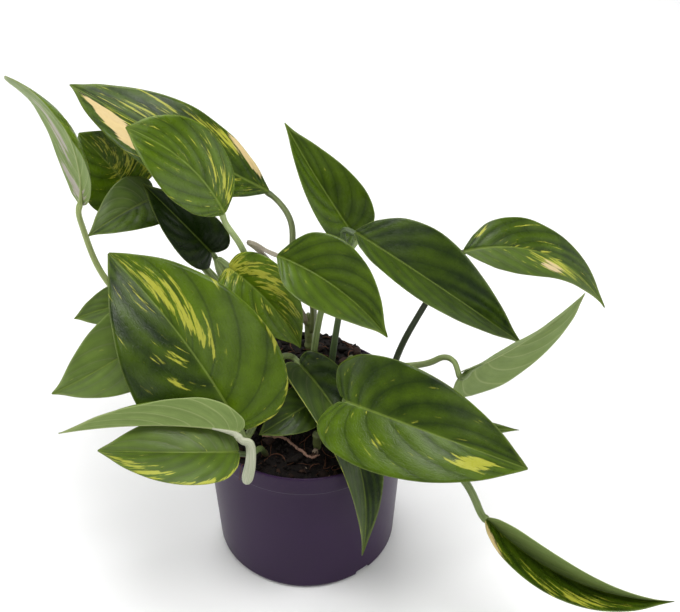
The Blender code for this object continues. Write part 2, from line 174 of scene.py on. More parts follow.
LEAVES = (
    Leaf("top_left", (-122, 35, 221), (-153, 35, 303), 46, 66,
         ("left", 121, 180), ((-60, 12, 130), (-90, 16, 150), (-116, 26, 176), (-122, 33, 203)),
         arch=13, bow=-5, fold=(-22, 20), wedge=0.8, oval=1.0, late=0.8, neck=5),
    Leaf("top_long", (-20, 58, 213), (-129, 78, 271), 47, -25,
         ("back", 134, 0), ((6, 27, 160), (-8, 32, 183), (-5, 47, 197)),
         arch=8, bow=-5, fold=(6, 8), wedge=1.0, late=0.55),
    Leaf("top_glossy", (-42, 17, 228), (-91, 20, 281), 46, -34,
         ("left", 144, 40), ((-20, 28, 165), (-30, 24, 185), (-34, 18, 206)),
         arch=5, bow=5, fold=(10, 4), wedge=0.9, late=0.6),
    Leaf("left_tucked", (-99, 62, 212), (-125, 66, 247), 48, -50,
         (-10, 30, 96), ((-36, 42, 140), (-78, 56, 186)), oval=0.5, wedge=0.3),
    Leaf("left_dark", (-86, 52, 212), (-118, 20, 210), 34, -30,
         ("left", 136, 120), ((-44, 32, 156), (-72, 44, 192))),
    Leaf("folded_dark", (-53, 38, 185), (-90, 48, 226), 36, -45,
         ("left", 146, 90), ((-34, 22, 158), (-48, 30, 174)), fold=(35, 35), wedge=0.4),
    Leaf("big_front", (-35, -42, 124), (-107, 15, 202), 84, -31,
         ("left", 120, 260), ((-26, -26, 118),), arch=7, bow=4, fold=(8, 6), oval=0.7,
         wedge=0.5, stalk=(2.2, 1.9)),
    Leaf("boat_front", (-34, -60, 139), (-129, -70, 147), 32, 44,
         (-31, -70, 108), ((-28, -67, 121), (-28, -63, 133)), fold=(64, 60), wedge=0.6,
         neck=3, stalk=(3.0, 2.0)),
    Leaf("under_boat", (-35, -64, 127), (-110, -68, 132), 44, -25,
         (-22, -34, 95), ((-24, -46, 112),), bow=-2, fold=(18, 10), oval=1.0, wedge=0.75,
         stalk=(1.7, 1.4)),
    Leaf("left_olive", (-78, 0, 161), (-143, -16, 125), 50, -35,
         ("left", 128, 225), ((-48, 2, 146),), bow=-3),
    Leaf("left_stub", (-91, 45, 145), (-138, 45, 129), 30, -40,
         ("left", 129, 150), ((-56, 34, 134),)),
    Leaf("lime_centre", (-41, 16, 191), (-2, 4, 142), 42, 53,
         ("left", 146, 320), ((-24, 8, 165), (-38, 14, 180)), bow=-4, fold=(24, 24), wedge=0.6),
    Leaf("centre", (-13, -5, 216), (46, -28, 178), 48, 46,
         ("back", 140, 240), ((-10, 31, 168), (-24, 18, 203), (-31, 6, 217), (-24, 0, 220)),
         bow=-5, fold=(16, 48), wedge=1.0, stalk=(1.5, 1.1)),
    Leaf("upper_middle", (28, 43, 194), (-10, 61, 257), 40, -51,
         (1, 3, 96), ((6, 8, 141), (10, 14, 164), (20, 32, 184)),
         bow=-1, fold=(55, 10), wedge=0.5),
    Leaf("right_long", (29, 22, 211), (125, 12, 138), 50, 30,
         (12, 5, 96), ((17, 10, 139), (20, 14, 160), (25, 20, 192)),
         arch=10, bow=4, fold=(26, 36), wedge=0.9),
    Leaf("right_back", (92, 50, 176), (178, 48, 135), 38, 25,
         (45, 5, 94), ((53, 9, 133), (62, 16, 148), (71, 24, 162), (82, 36, 174)),
         arch=11, bow=-12, fold=(6, 14), wedge=1.0),
    Leaf("right_pale", (91, -18, 145), (155, 0, 186), 47, -80,
         ("right", 128, 340), ((69, -8, 139), (76, -9, 147), (85, -13, 149)),
         arch=4, bow=-13, fold=(-8, -30), wedge=0.1, neck=8),
    Leaf("heart_front", (24, -37, 139), (122, -72, 122), 63, 44,
         ("right", 122, 290), ((31, -15, 137),), arch=8, oval=0.3, wedge=0.15, neck=3, stalk=(2.2, 1.8)),
    Leaf("over_rim", (-2, -3, 135), (33, -71, 50), 36, 21,
         ("left", 128, 330), ((-11, 5, 135),), arch=19, bow=-15, fold=(-12, 50), wedge=0.5),
    Leaf("small_olive", (8, -14, 119), (-25, -36, 112), 27, -35,
         ("right", 114, 240), (), oval=0.6, wedge=0.6),
    Leaf("bud", (0, -2, 120), (-12, -5, 129), 14, -54,
         (0, -4, 98), (), neck=4, stalk=(1.2, 0.9)),
    Leaf("right_tip", (78, -20, 104), (122, -30, 110), 12, 46,
         (34, -8, 94), ((50, -14, 108),), stalk=(1.5, 1.1)),
    Leaf("low_right", (102, -76, 86), (209, -95, 39), 48, 44,
         (26, -22, 92), ((58, -46, 116), (84, -60, 110), (94, -68, 98)),
         bow=12, fold=(72, 57), wedge=0.8, neck=4, stalk=(2.4, 2.0)),
)


@dataclass
class Look:
    """How one blade is coloured. Patches are (share, across, length, breadth, strength)."""

    tone: float = 0.45  # 0 is the darkest green, and 1 the brightest
    halves: tuple = (0.0, 0.0)  # added to the tone, left and right
    flecks: float = 0.15  # how many fine yellow flecks
    yellow: tuple = ()
    cream: tuple = ()
    pale: tuple = (0.0, 0.0)  # how pale the upper face is, left and right
    curl: tuple = (0.0, 0.0)  # how much further each margin rises


LOOKS = {
    "top_left": Look(0.7, flecks=0.3, cream=((0.1, 0.0, 0.5, 2.0, 0.7), (0.55, 0.6, 0.7, 0.6, 0.5)),
                     yellow=((0.95, -0.3, 0.15, 1.0, 0.8),), curl=(-20, 0)),
    "top_long": Look(0.3, flecks=0.45,
                     yellow=((0.6, -0.5, 0.4, 0.6, 0.35), (0.75, 0.5, 0.2, 0.8, 0.3),
                             (0.4, 0.7, 0.3, 0.4, 0.3)),
                     cream=((0.80, -0.60, 0.28, 0.36, 1.0), (0.62, -0.66, 0.26, 0.34, 1.0),
                            (0.26, 0.84, 0.28, 0.62, 1.0))),
    "top_glossy": Look(0.5, flecks=0.4, yellow=((0.4, 0.5, 0.4, 0.7, 0.3), (0.22, 0.6, 0.08, 0.2, 0.7))),
    "left_tucked": Look(0.45, flecks=0.3, yellow=((0.45, 0.8, 0.5, 0.4, 0.55), (0.6, 0.2, 0.5, 0.7, 0.4))),
    # left_dark sits in shade behind the leaves in front: its low tone is painted shade
    "left_dark": Look(0.1, (0.25, 0.1), flecks=0.05, pale=(0.0, 0.4)),
    "folded_dark": Look(0.02, flecks=0.0),
    "big_front": Look(0.42, (-0.2, 0.16), 0.3,
                      yellow=((0.82, 0.45, 0.22, 0.45, 0.5), (0.66, 0.25, 0.2, 0.25, 0.5),
                              (0.75, -0.35, 0.35, 0.5, 0.28), (0.12, 0.98, 0.3, 0.14, 0.9),
                              (0.5, 0.98, 0.4, 0.05, 0.6))),
    "boat_front": Look(0.7, flecks=0.2),
    "under_boat": Look(0.5, flecks=0.3, yellow=((0.35, -0.97, 0.5, 0.12, 0.8), (0.8, -0.8, 0.3, 0.3, 0.6)),
                       pale=(0.15, 0.3)),
    "left_olive": Look(0.5, flecks=0.2, pale=(0.25, 0.35)),
    "left_stub": Look(0.45, flecks=0.2, pale=(0.2, 0.2)),
    "lime_centre": Look(0.72, flecks=0.45, yellow=((0.12, 0.0, 0.3, 1.8, 0.65), (0.5, -0.5, 0.5, 0.7, 0.4)),
                        cream=((0.4, 0.3, 0.3, 0.6, 0.3),)),
    "centre": Look(0.42, flecks=0.3, yellow=((0.2, -0.5, 0.1, 0.2, 0.6),), pale=(0.0, 0.1)),
    "upper_middle": Look(0.42, flecks=0.1),
    "right_long": Look(0.2, flecks=0.15, pale=(0.0, 0.12)),
    "right_back": Look(0.3, flecks=0.35, yellow=((0.72, 0.3, 0.3, 0.7, 0.5), (0.3, -0.7, 0.1, 0.2, 0.6)),
                       cream=((0.66, 0.55, 0.12, 0.5, 0.8),), pale=(0.0, 0.25)),
    "right_pale": Look(0.75, flecks=0.15),
    "heart_front": Look(0.45, (-0.18, 0.05), 0.3,
                        yellow=((0.80, 0.55, 0.12, 0.35, 0.95), (0.5, 0.5, 0.1, 0.15, 0.5))),
    "over_rim": Look(0.12, flecks=0.15, pale=(0.0, 0.2), yellow=((0.5, 1.0, 0.8, 0.05, 0.7),)),
    "small_olive": Look(0.2, pale=(0.1, 0.1)),
    "bud": Look(0.5),
    "right_tip": Look(0.35),
    # low_right's left half is raised by pale and halves: partly its own paler colour, partly painted light
    # against the shade that falls on it
    "low_right": Look(0.6, (0.4, -0.3), 0.25, pale=(1.0, 0.0), cream=((0.20, 0.95, 0.35, 0.6, 1.0),),
                      yellow=((0.2, 0.8, 0.3, 0.4, 0.6), (0.62, 0.7, 0.25, 0.5, 0.55))),
}


# ---- small sums ----

def mix(a, b, share):
    return a + (b - a) * share


def unit(v):
    return v / np.linalg.norm(v, axis=-1, keepdims=True)


def ease(low, high, value):
    t = np.clip((value - low) / (high - low), 0.0, 1.0)
    return t * t * (3 - 2 * t)


def bell(value, width):
    return np.exp(-((value / width) ** 2))


def smooth(knots, shares):
    """Points at shares of the way along a Catmull-Rom curve through the knots."""
    knots = np.asarray(knots, float)
    place = np.atleast_1d(shares) * (len(knots) - 1)
    i = np.minimum(place.astype(int), len(knots) - 2)
    f = (place - i)[..., None]
    padded = np.vstack([2 * knots[:1] - knots[1:2], knots, 2 * knots[-1:] - knots[-2:-1]])
    before, here, there, after = (padded[i + k] for k in range(4))
    return 0.5 * (
        here * 2 + (there - before) * f
        + (before * 2 - here * 5 + there * 4 - after) * f ** 2
        + (here * 3 - before - there * 3 + after) * f ** 3
    )


def ripple(seed, *waves):
    """A sum of waves from (place, count) pairs, with phases set by a seed. From about -1 to 1."""
    total = 0.0
    for number, (place, count) in enumerate(waves):
        total = total + np.sin(place * count * 2 * math.pi + seed * (1.7 + number) + number * 2.1)
    return total / len(waves)


# ---- materials ----

class Graph:
    """A material's nodes. Inputs may be numbers, tuples or other nodes' sockets."""

    def __init__(self, name):
        self.material = bpy.data.materials.new(name)
        self.material.use_nodes = True
        self.tree = self.material.node_tree
        self.shader = self.tree.nodes["Principled BSDF"]

    def feed(self, socket, value):
        if isinstance(value, bpy.types.NodeSocket):
            self.tree.links.new(value, socket)
        elif isinstance(value, tuple) and len(value) == 3 and socket.type == "RGBA":
            socket.default_value = (*value, 1.0)
        else:
            socket.default_value = value

    def node(self, kind, inputs=None, **settings):
        made = self.tree.nodes.new(f"ShaderNode{kind}")
        for key, value in settings.items():
            setattr(made, key, value)
        for key, value in (inputs or {}).items():
            self.feed(made.inputs[key], value)
        return made

    def sum(self, operation, *values, clamp=False):
        made = self.node("Math", operation=operation, use_clamp=clamp)
        for socket, value in zip(made.inputs, values):
            self.feed(socket, value)
        return made.outputs[0]

    def times(self, a, b):
        return self.sum("MULTIPLY", a, b)

    def span(self, value, low, high, out_low=0.0, out_high=1.0):
        """A smooth step from out_low to out_high as the value goes from low to high."""
        made = self.node("MapRange", interpolation_type="SMOOTHSTEP")
        for key, number in zip(
            ("Value", "From Min", "From Max", "To Min", "To Max"),
            (value, low, high, out_low, out_high),
        ):
            self.feed(made.inputs[key], number)
        return made.outputs[0]

    def blend(self, a, b, share):
        made = self.node("Mix", data_type="RGBA")
        self.feed(made.inputs["Factor"], share)
        self.feed(made.inputs[6], a)
        self.feed(made.inputs[7], b)
        return made.outputs[2]

    def parts(self, name):
        """The three numbers of a vector attribute."""
        made = self.node("Attribute", attribute_name=name)
        split = self.node("SeparateXYZ", {"Vector": made.outputs["Vector"]})
        return split.outputs

    def vector(self, x=0.0, y=0.0, z=0.0):
        return self.node("CombineXYZ", {"X": x, "Y": y, "Z": z}).outputs[0]

    def place(self):
        return self.node("TexCoord").outputs["Object"]

    def noise(self, vector, scale, detail=3.0, roughness=0.5):
        made = self.node("TexNoise", {
            "Vector": vector, "Scale": scale, "Detail": detail, "Roughness": roughness,
        })
        return made.outputs[0]

    def cells(self, vector, scale, feature="DISTANCE_TO_EDGE"):
        made = self.node("TexVoronoi", {"Vector": vector, "Scale": scale}, feature=feature)
        return made.outputs[0]

    def bump(self, height, depth, below=None):
        made = self.node("Bump", {"Strength": 1.0, "Distance": depth * MM, "Height": height})
        if below is not None:
            self.feed(made.inputs["Normal"], below)
        return made.outputs[0]

    def finish(self, colour, roughness, normal=None, **fixed):
        self.feed(self.shader.inputs["Base Color"], colour)
        self.feed(self.shader.inputs["Roughness"], roughness)
        if normal is not None:
            self.feed(self.shader.inputs["Normal"], normal)
        for key, value in fixed.items():
            self.shader.inputs[key.replace("_", " ")].default_value = value
        return self.material


DARK_GREEN = (0.008, 0.020, 0.0015)
BRIGHT_GREEN = (0.110, 0.190, 0.004)
YELLOW = (0.44, 0.44, 0.050)
CREAM = (0.62, 0.47, 0.23)
RIB_GREEN = (0.20, 0.27, 0.045)
PALE_DARK = (0.090, 0.145, 0.030)
PALE_BRIGHT = (0.23, 0.31, 0.095)
PALE_RIB = (0.35, 0.40, 0.17)
LILAC = (0.46, 0.39, 0.38)


def leaf_look(name, seed):
    g = Graph(name)
    share, across, phase = g.parts("place")
    reach, edge, under = g.parts("measure")
    yellow, cream, tone = g.parts("tint")
    here = g.place()

    # Streaks follow the side veins: fine along the midrib, long across the blade
    fine = g.noise(g.vector(g.times(phase, 34.0), g.times(across, 3.2), seed), 1.0, 4.0, 0.6)
    broad = g.noise(g.vector(g.times(phase, 12.0), g.times(across, 1.8), seed + 9.0), 1.0, 2.0)
    mottle = g.noise(here, 90.0, 3.0)
    line = g.sum("PINGPONG", g.times(phase, VEINS), 0.5)
    # Painted shade: the upper face's green darkens in and beside the sunken side veins. Under the blade the
    # veins take their own paler colour.
    vein_shade_and_pale_rib = g.span(line, 0.0, 0.09, 1.0, 0.0)
    between = g.span(line, 0.05, 0.5)
    near_rib = g.span(reach, 0.3, 5.0, 1.0, 0.0)

    shade = g.sum("ADD", tone, g.sum("MULTIPLY_ADD", mottle, 0.5, -0.25))
    shade = g.sum("ADD", shade, g.sum("MULTIPLY_ADD", broad, 0.36, -0.18))
    # painted shade beside the side veins (low near a vein, high between them)
    shade = g.sum("ADD", shade, g.sum("MULTIPLY_ADD", between, 0.16, -0.12), clamp=True)
    green = g.blend(DARK_GREEN, BRIGHT_GREEN, shade)
    # painted shade in the sunken side veins
    green = g.blend(green, DARK_GREEN, g.times(vein_shade_and_pale_rib, 0.42))

    marks = g.sum("SUBTRACT", fine, g.sum("MULTIPLY_ADD", yellow, -0.42, 0.74))
    marks = g.span(marks, -0.03, 0.06)
    green = g.blend(green, YELLOW, g.times(marks, 0.85))
    pale = g.sum("SUBTRACT", g.sum("ADD", g.times(broad, 0.6), g.times(fine, 0.4)),
                 g.sum("MULTIPLY_ADD", cream, -0.58, 0.84))
    pale = g.span(pale, -0.03, 0.04)
    green = g.blend(green, CREAM, g.times(pale, 0.92))

    width = g.sum("MULTIPLY_ADD", share, -0.55, 0.75)
    rib = g.span(g.sum("SUBTRACT", reach, width), -0.15, 0.35, 1.0, 0.0)
    green = g.blend(green, RIB_GREEN, g.times(rib, 0.42))
    rim = g.span(edge, 0.1, 0.75, 1.0, 0.0)
    green = g.blend(green, RIB_GREEN, g.times(rim, 0.35))

    low = g.sum("ADD", g.times(tone, 0.6), g.sum("MULTIPLY_ADD", fine, 0.7, -0.15))
    low = g.sum("ADD", low, g.sum("MULTIPLY_ADD", mottle, 0.5, -0.25), clamp=True)
    back = g.blend(PALE_DARK, PALE_BRIGHT, low)
    back = g.blend(back, PALE_RIB, g.times(vein_shade_and_pale_rib, 0.45))
    back = g.blend(back, LILAC, g.times(pale, 0.75))
    back = g.blend(back, YELLOW, g.times(marks, 0.3))
    back = g.blend(back, PALE_RIB, g.times(rib, 0.8))
    back = g.blend(back, PALE_RIB, g.times(rim, 0.5))
    colour = g.blend(green, back, under)

    wax = g.noise(here, 260.0, 2.0)
    roughness = g.sum("MULTIPLY_ADD", wax, 0.16, 0.20)
    roughness = g.sum("ADD", roughness, g.times(near_rib, 0.04))
    roughness = g.sum("MULTIPLY_ADD", under, 0.20, roughness)
    net = g.cells(g.vector(g.times(phase, 46.0), g.times(across, 15.0), seed), 1.0)
    net = g.span(net, 0.0, 0.12)
    skin = g.bump(g.noise(here, 1500.0, 2.0), 0.010)
    normal = g.bump(net, 0.03, skin)
    return g.finish(colour, roughness, normal, Specular_IOR_Level=0.20)


def stalk_look(name, light, dark, seed):
    g = Graph(name)
    along, turn, end = g.parts("place")
    streaks = g.noise(g.vector(g.times(along, 3.0), g.times(turn, 9.0), seed), 1.0, 3.0)
    blotch = g.noise(g.place(), 140.0, 3.0)
    colour = g.blend(dark, light, g.span(streaks, 0.3, 0.7))
    colour = g.blend(colour, dark, g.span(blotch, 0.55, 0.75, 0.0, 0.6))
    colour = g.blend(colour, (0.16, 0.09, 0.05), g.times(end, 0.6))
    specks = g.cells(g.place(), 900.0, "F1")
    colour = g.blend(colour, RIB_GREEN, g.span(specks, 0.0, 0.22, 0.5, 0.0))
    ridges = g.noise(g.vector(g.times(along, 6.0), g.times(turn, 40.0)), 1.0, 2.0)
    normal = g.bump(ridges, 0.12)
    roughness = g.sum("MULTIPLY_ADD", blotch, 0.2, 0.30)
    return g.finish(colour, roughness, normal)


def vine_look():
    g = Graph("vine_bark")
    along, turn, end = g.parts("place")
    rough = g.noise(g.place(), 300.0, 4.0, 0.6)
    rings = g.noise(g.vector(g.times(along, 60.0), turn), 1.0, 2.0)
    colour = g.blend((0.06, 0.09, 0.02), (0.17, 0.20, 0.06), rough)
    colour = g.blend(colour, (0.10, 0.07, 0.03), g.span(rings, 0.5, 0.7, 0.0, 0.6))
    colour = g.blend(colour, (0.10, 0.05, 0.03), g.times(end, 0.8))
    normal = g.bump(rings, 0.2, g.bump(rough, 0.15))
    return g.finish(colour, g.sum("MULTIPLY_ADD", rough, 0.3, 0.4), normal)


def soil_look():
    g = Graph("potting_mix")
    grain, fibre, _ = g.parts("grain")
    here = g.place()
    fine = g.noise(here, 700.0, 5.0, 0.7)
    colour = g.blend((0.0020, 0.0014, 0.0012), (0.012, 0.0065, 0.0045), g.span(fine, 0.35, 0.75))
    colour = g.blend(colour, (0.036, 0.017, 0.010), g.span(grain, 0.76, 0.94, 0.0, 0.8))
    colour = g.blend(colour, (0.30, 0.23, 0.17), g.span(grain, 0.985, 0.99, 0.0, 0.8))
    colour = g.blend(colour, (0.13, 0.055, 0.030), g.times(fibre, 0.8))
    pits = g.noise(here, 1600.0, 4.0, 0.7)
    normal = g.bump(pits, 0.35, g.bump(g.cells(here, 500.0, "F1"), 0.3))
    roughness = g.sum("MULTIPLY_ADD", fine, 0.25, 0.68)
    return g.finish(colour, roughness, normal, Specular_IOR_Level=0.2)


def root_look():
    g = Graph("root_skin")
    along, turn, _ = g.parts("place")
    stripes = g.noise(g.vector(g.times(along, 40.0), g.times(turn, 2.0)), 1.0, 3.0)
    colour = g.blend((0.17, 0.085, 0.055), (0.36, 0.21, 0.15), stripes)
    dirt = g.noise(g.place(), 500.0, 3.0)
    colour = g.blend(colour, (0.03, 0.018, 0.012), g.span(dirt, 0.55, 0.7, 0.0, 0.8))
    return g.finish(colour, g.sum("MULTIPLY_ADD", stripes, 0.2, 0.55), g.bump(stripes, 0.2))


def pot_look():
    g = Graph("satin_purple_plastic")
    turn = g.parts("place")[1]
    here = g.place()
    tall = g.node("SeparateXYZ", {"Vector": here}).outputs["Z"]
    cloud = g.noise(here, 30.0, 3.0)
    flow = g.noise(g.vector(g.times(turn, 30.0), g.times(tall, 9.0)), 1.0, 3.0)
    colour = g.blend((0.017, 0.0050, 0.027), (0.026, 0.0080, 0.041), cloud)
    dust = g.noise(here, 420.0, 5.0, 0.7)
    high = g.span(tall, 0.080, 0.101)
    settled = g.times(g.span(dust, 0.52, 0.70), g.sum("MULTIPLY_ADD", high, 0.35, 0.10))
    colour = g.blend(colour, (0.12, 0.08, 0.075), g.times(settled, 0.35))
    scratch = g.node("TexNoise", {
        "Vector": g.vector(g.times(turn, 14.0), g.times(tall, 900.0)),
        "Scale": 1.0, "Detail": 2.0,
    }).outputs[0]
    worn = g.span(scratch, 0.66, 0.72)
    colour = g.blend(colour, (0.08, 0.04, 0.10), g.times(worn, 0.2))
    roughness = g.sum("MULTIPLY_ADD", cloud, 0.10, 0.27)
    roughness = g.sum("MULTIPLY_ADD", flow, 0.10, roughness)
    roughness = g.sum("ADD", roughness, g.times(settled, 0.5))
    grain = g.bump(g.noise(here, 1800.0, 2.0), 0.02)
    sway = g.noise(g.vector(g.times(turn, 24.0), g.times(tall, 12.0)), 1.0, 1.0)
    normal = g.bump(sway, 0.12, grain)
    return g.finish(colour, roughness, normal, Specular_IOR_Level=0.16)


# ---- meshes ----

class Shape:
    """Points, faces and vector attributes gathered into one mesh."""

    def __init__(self):
        self.points, self.faces, self.facts = [], [], []
        self.count = 0

    def add(self, points, faces, facts):
        points = np.asarray(points, float).reshape(-1, 3)
        facts = np.broadcast_to(np.asarray(facts, float), (len(points), np.shape(facts)[-1]))
        self.points.append(points)
        self.facts.append(facts)
        self.faces += [tuple(i + self.count for i in face) for face in faces]
        self.count += len(points)

    def piece(self, name, look, attributes):
        mesh = bpy.data.meshes.new(name)
        mesh.from_pydata((np.vstack(self.points) * MM).tolist(), [], self.faces)
        facts = np.vstack(self.facts)
        for number, key in enumerate(attributes):
            layer = mesh.attributes.new(key, "FLOAT_VECTOR", "POINT")
            block = facts[:, 3 * number:3 * number + 3]
            layer.data.foreach_set("vector", np.ascontiguousarray(block, np.float32).ravel())
        mesh.shade_smooth()
        mesh.materials.append(look)
        made = bpy.data.objects.new(name, mesh)
        bpy.context.scene.collection.objects.link(made)
        return made


def grid_faces(rows, columns, first=0, closed=False, flip=False):
    """Quads between rows of points. A closed grid joins its last column to its first."""
    faces = []
    for i in range(rows - 1):
        for j in range(columns if closed else columns - 1):
            k = (j + 1) % columns
            face = (
                first + i * columns + j, first + i * columns + k,
                first + (i + 1) * columns + k, first + (i + 1) * columns + j,
            )
            faces.append(face[::-1] if flip else face)
    return faces


def settle(piece, slot, *nodes):
    """Puts a finished piece in the place of its CAD nodes."""
    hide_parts(*nodes)
    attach(piece, "root")


# ---- leaves ----

def outline(leaf, shares):
    full = mix(np.array(HEART), np.array(OVAL), leaf.oval)
    knots = mix(full, np.array(WEDGE), leaf.wedge)
    knots[:, 0] += leaf.late * np.maximum(knots[:, 0], 0.0) * (1.0 - knots[:, 0])
    return smooth(knots, shares)


def midrib(leaf):
    """Three knots of the midrib's arc, and the blade's normal about it."""
    base, tip = np.array(leaf.base, float), np.array(leaf.tip, float)
    chord = unit(tip - base)
    up = np.array((0.0, 0.0, 1.0))
    level = unit(up - chord * (up @ chord))
    turn = math.radians(leaf.roll)
    normal = level * math.cos(turn) + np.cross(chord, level) * math.sin(turn)
    side = np.cross(chord, normal)
    middle = (base + tip) / 2 + normal * (2 * leaf.arch) + side * (2 * leaf.bow)
    return base, middle, tip, normal


def frame_at(leaf, along):
    """Point, forward, side and normal of the midrib at shares of its length."""
    base, middle, tip, normal = midrib(leaf)
    along = np.asarray(along, float)
    t = np.maximum(along, 0.0)[..., None]
    point = base * (1 - t) ** 2 + middle * (2 * t * (1 - t)) + tip * t ** 2
    forward = unit((middle - base) * (1 - t) + (tip - middle) * t)
    behind = np.minimum(along, 0.0)[..., None] * np.linalg.norm(tip - base)
    point = point + forward * behind
    side = unit(np.cross(forward, normal))
    return point, forward, side, np.cross(side, forward)


def patch(share, across, marks):
    total = np.zeros_like(share)
    for s, a, length, breadth, strength in marks:
        total = total + strength * bell(share - s, length * 0.6) * bell(across - a, breadth * 0.6)
    return np.clip(total, 0.0, 1.0)


def by_half(right, pair):
    """The left or the right number of a pair, for each point."""
    return np.where(right, pair[1], pair[0])


def blade_grid():
    """Shares along the midrib, and across the blade from -1 at the left margin to 1 at the right."""
    steps = np.linspace(0.0, 1.0, COLUMNS + 1) ** 1.25
    across = np.concatenate([-steps[:0:-1], steps])
    return np.meshgrid(np.linspace(0.0, 1.0, ROWS + 1), across, indexing="ij")


def blade_swell(leaf, seed, share, out, full, right):
    """Height of the margin's ripples and of the slower waves of each half."""
    swell = leaf.wave * out ** 2 * full * np.sin(share * RIPPLES + 2 * right + leaf.width)
    swell = swell + 0.32 * out ** 4 * full * ripple(seed, (share, 6.5), (share, 9.3), (share, 3.1))
    slow = ripple(seed, (share, 1.6), (share + out * 0.4, 2.7))
    return swell + 0.45 * out * slow * ease(0.0, 0.2, share)


def rim_points(rows, columns):
    """Numbers of the points round the rim of a grid."""
    ring = [i * columns for i in range(rows)]
    ring += [(rows - 1) * columns + j for j in range(1, columns)]
    ring += [i * columns + columns - 1 for i in range(rows - 2, -1, -1)]
    return ring + list(range(columns - 2, 0, -1))


def build_blade(leaf, number):
    """Both faces of the blade with its sunken veins, keeled midrib and thin rippled margin."""
    look = LOOKS[leaf.name]
    seed = number * 1.618
    share, across = blade_grid()
    out, right = np.abs(across), across > 0
    sign = np.where(right, 1.0, -1.0)
    margin = outline(leaf, share.ravel()).reshape(*share.shape, 2)
    full = margin[..., 1]
    point, _, side, normal = frame_at(leaf, mix(share ** 2, margin[..., 0], out))
    half = full * leaf.width / 2
    reach = half * out
    edge = half - reach
    fold = by_half(right, leaf.fold)
    curl = by_half(right, look.curl) * out ** 2 * full

    # Side veins run forward on their way out
    phase = share - 0.25 * out ** 1.15 + 0.02 * np.sin(share * 9 + seed + sign)
    open_part = ease(0.6, 4.0, reach) * ease(0.2, 5.0, edge) * ease(1.0, 0.8, share)
    valley = np.abs(np.sin(math.pi * VEINS * phase)) ** 0.55
    quilt = 0.42 * (valley - 0.75) * open_part
    groove = -0.5 * bell(reach, 1.0) * (1 - 0.7 * share) * ease(0.0, 0.03, share)
    keel = (0.95 * (1 - 0.85 * share) * bell(reach, 0.9) * ease(0.0, 0.04, share)
            + 0.16 * (1 - ease(0.0, 0.35, valley)) * open_part)

    # The sheet's middle, and the way up from it
    turn = np.radians(fold + curl)
    swell = blade_swell(leaf, seed, share, out, full, right)
    middle = point + side * (sign * reach * np.cos(turn))[..., None]
    middle = middle + normal * (reach * np.sin(turn) + swell)[..., None]
    tilt = np.radians(fold + curl * 1.5) * np.minimum(reach / FOLD_RADIUS, 1.0)
    up = normal * np.cos(tilt)[..., None] - side * (sign * np.sin(tilt))[..., None]
    thick = SHEET / 2 * mix(0.45, 1.0, ease(0.0, 2.5, edge))
    top = middle + up * (thick + quilt + groove)[..., None]
    low = middle + up * (quilt + 0.5 * groove - thick - keel)[..., None]

    tone = np.clip(look.tone + by_half(right, look.halves) * ease(0.0, 3.0, reach), 0, 1)
    yellow = np.clip(look.flecks * 0.5 + patch(share, across, look.yellow), 0, 1)
    cream = patch(share, across, look.cream)
    shape = Shape()
    rows, columns = share.shape
    for place, is_low in ((top, 0.0), (low, 1.0)):
        pale = np.maximum(is_low, by_half(right, look.pale) * ease(0.2, 1.0, reach))
        facts = np.stack([share, across, phase, reach, edge, pale, yellow, cream, tone], -1)
        shape.add(place, grid_faces(rows, columns, flip=bool(is_low)), facts.reshape(-1, 9))
    size = rows * columns
    ring = rim_points(rows, columns)
    for a, b in zip(ring, ring[1:] + ring[:1]):
        shape.faces.append((a, b, b + size, a + size))
    name, node = f"blade_{leaf.name}", f"leaf_{leaf.name}"
    piece = shape.piece(name, leaf_look(name, seed), ("place", "measure", "tint"))
    slots = {part["node"]: part["material_slot"] for part in frame["record"]["subparts"]}
    settle(piece, slots[node], node)


def tube(shape, line, radii, sides, facts, groove=0.0, up=(0, 0, 1)):
    """A closed tube round a line, with a groove that faces up."""
    line = np.asarray(line, float)
    forward = unit(np.gradient(line, axis=0))
    across = unit(np.cross(forward[0], (0.31, 0.2, 0.93)))
    rings, angles = [], np.arange(sides) / sides * 2 * math.pi
    for place, ahead, radius in zip(line, forward, radii):
        across = unit(across - ahead * (across @ ahead))
        above = np.cross(ahead, across)
        lift = np.array(up, float)
        top = math.atan2(lift @ above, lift @ across)
        gap = np.angle(np.exp(1j * (angles - top)))
        reach = radius * (1 - groove * bell(gap, 0.55) + 0.5 * groove * bell(np.abs(gap) - 0.9, 0.4))
        sideways = across * (reach * np.cos(angles))[:, None]
        rings.append(place + sideways + above * (reach * np.sin(angles))[:, None])
    rows = len(rings)
    along = np.repeat(np.linspace(0, 1, rows), sides)
    turn = np.tile(np.sin(angles), rows)
    own = np.stack([along, turn, np.interp(along, *facts)], -1)
    faces = grid_faces(rows, sides, closed=True)
    faces += [tuple(range(sides - 1, -1, -1)), tuple((rows - 1) * sides + i for i in range(sides))]
    shape.add(np.vstack(rings), faces, own)


def stem_axis(name, share):
    foot, top = STEMS[name]
    return mix(np.array((*foot, STEM_DEPTH), float), np.array(top, float), share)


def stalk_knots(leaf):
    """Knots of the stalk, from its root to just under the blade's base."""
    end_radius = leaf.stalk[1]
    if isinstance(leaf.root[0], str):
        stem, height, heading = leaf.root
        share = (height - STEM_DEPTH) / (STEMS[stem][1][2] - STEM_DEPTH)
        turn = math.radians(heading)
        start = stem_axis(stem, share) + np.array((math.cos(turn), math.sin(turn), 0.0)) * STEM_RADIUS * 0.5
    else:
        start = np.array(leaf.root, float)
    point, forward, _, normal = frame_at(leaf, 0.0)
    under = end_radius + LEAF_THICKNESS / 2 + GAP
    end = point - normal * under
    near = point - forward * leaf.neck - normal * (under + STALK_DROP)
    return [start] + [np.array(place, float) for place in leaf.route] + [near, end]


